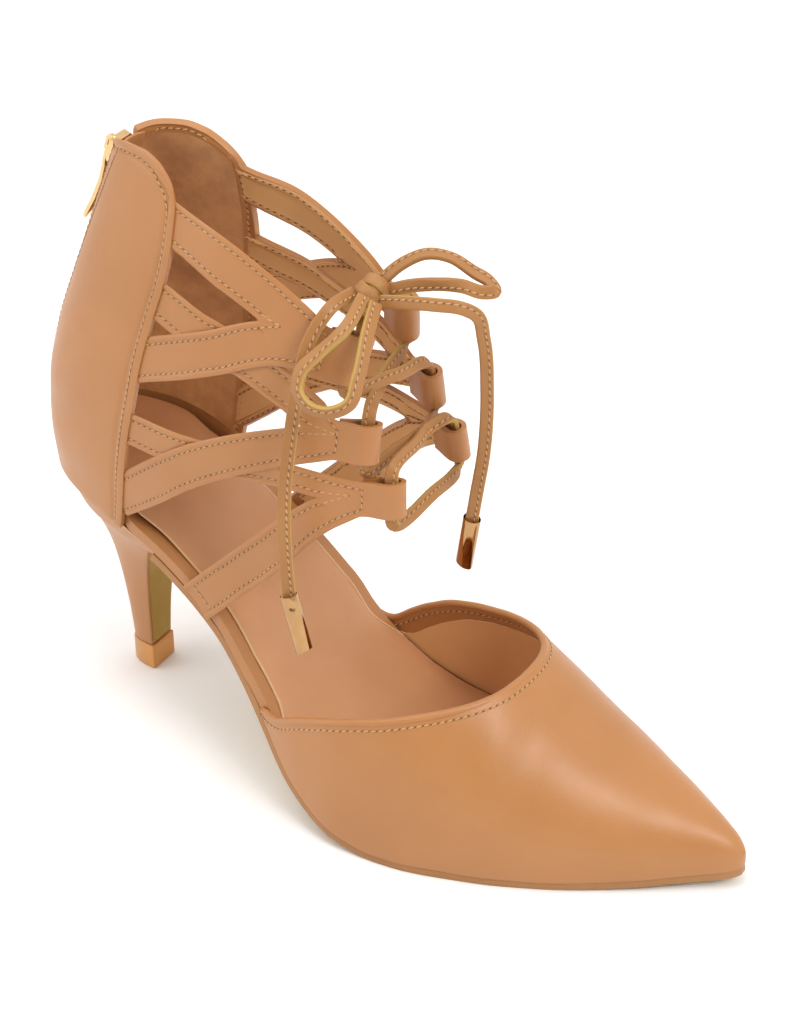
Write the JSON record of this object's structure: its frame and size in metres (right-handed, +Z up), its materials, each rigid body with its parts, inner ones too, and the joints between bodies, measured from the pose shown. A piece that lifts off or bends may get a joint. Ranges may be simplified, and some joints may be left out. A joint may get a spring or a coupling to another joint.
{
  "type": "pump shoe",
  "caption": "Right pointed pump with a stiletto heel, an open waist, a zipped ankle quarter and forked straps laced over the instep with a bow.",
  "frame": {"origin": "on the floor under the ball of the foot, at the middle of the tread's flat spot", "axes": "+X to the toe, +Y to the wearer's left (medial side of this right shoe), +Z up"},
  "size_m": [0.2269, 0.0798, 0.1844],
  "materials": {
    "leather_upper": "smooth satin",
    "leather_lace": "smooth satin",
    "leather_sole": "matt, mustard coloured",
    "leather_sock": "smooth satin",
    "heel_cover": "smooth satin over a moulded heel",
    "lift_plastic": "clear amber",
    "zip_metal": "polished, gold coloured",
    "zip_fabric": "woven tape",
    "aglet_metal": "polished, rose gold coloured"
  },
  "bodies": {
    "shoe": {"outsole": "leather_sole", "insole": "leather_sock", "heel": "heel_cover", "top_lift": "lift_plastic", "vamp": "leather_upper", "quarter": "leather_upper", "zip_tape": "zip_fabric", "zip_slider": "zip_metal", "straps_lateral": "leather_upper", "straps_medial": "leather_upper", "lace_crossings": "leather_lace", "lace_knot": "leather_lace", "lace_bow_lateral": "leather_lace", "lace_bow_medial": "leather_lace", "lace_end_lateral": "leather_lace", "lace_end_medial": "leather_lace", "aglet_lateral": "aglet_metal", "aglet_medial": "aglet_metal"},
    "pull": {"zip_pull": "zip_metal"}
  },
  "joints": [
    {"name": "zip_pull_hinge", "type": "hinge", "parent": "shoe", "child": "pull", "pos_m": [-0.12375, 0, 0.17665], "axis": [0, 1, 0], "range_deg": [0, 150]}
  ]
}
